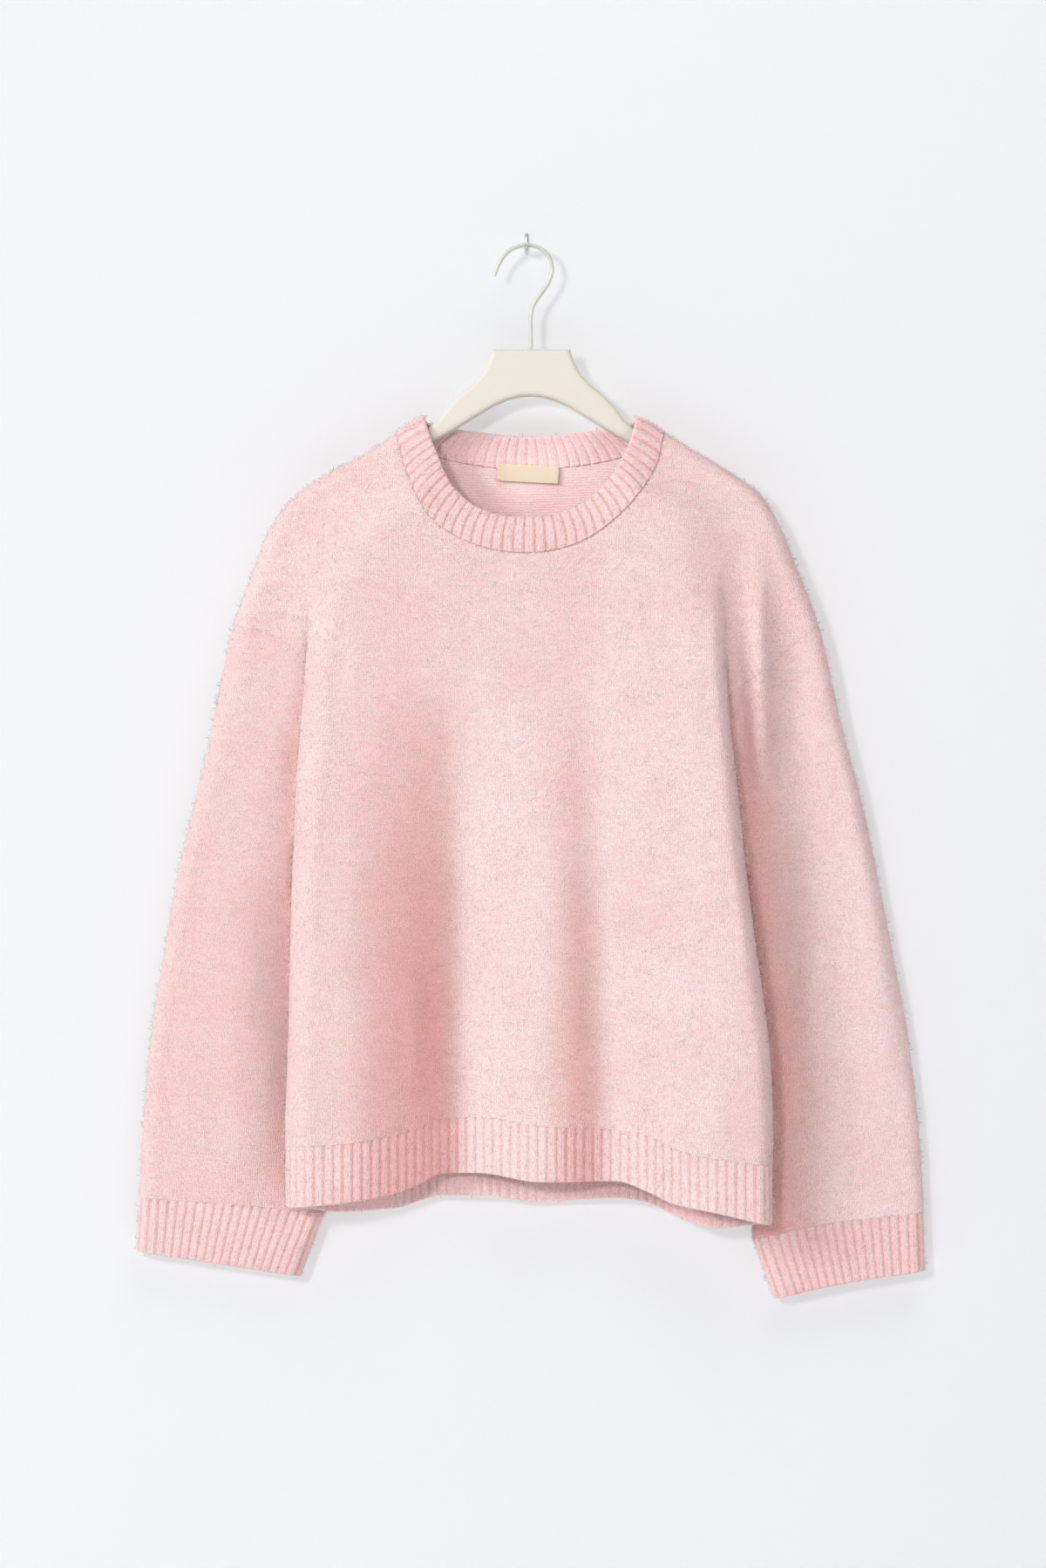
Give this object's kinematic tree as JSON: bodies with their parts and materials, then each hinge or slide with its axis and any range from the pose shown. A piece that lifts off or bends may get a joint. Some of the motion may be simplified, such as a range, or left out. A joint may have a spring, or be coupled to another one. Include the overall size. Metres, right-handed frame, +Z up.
{
  "type": "knit sweater on a clothes hanger",
  "caption": "Crew-neck, drop-shoulder knit sweater with ribbed neck, hem and cuffs, hanging in soft folds on a contoured clothes hanger with a wire hook.",
  "frame": {"origin": "underside of the crown of the hanger's hook, where a rail, rod or wall hook holds it", "axes": "+Z up, -Y towards the front of the sweater, +X towards the wearer's left"},
  "size_m": [0.6365, 0.0663, 0.8488],
  "materials": {
    "knit": "matte",
    "rib": "matte",
    "label": "matte",
    "hanger": "satin",
    "hook": "satin"
  },
  "bodies": {
    "root": {"front_panel": "knit", "back_panel": "knit", "sleeve_left": "knit", "sleeve_right": "knit", "neck_rib": "rib", "front_hem_rib": "rib", "back_hem_rib": "rib", "cuff_left": "rib", "cuff_right": "rib", "neck_label": "label", "hanger_body": "hanger", "hanger_hook": "hook"}
  },
  "joints": []
}
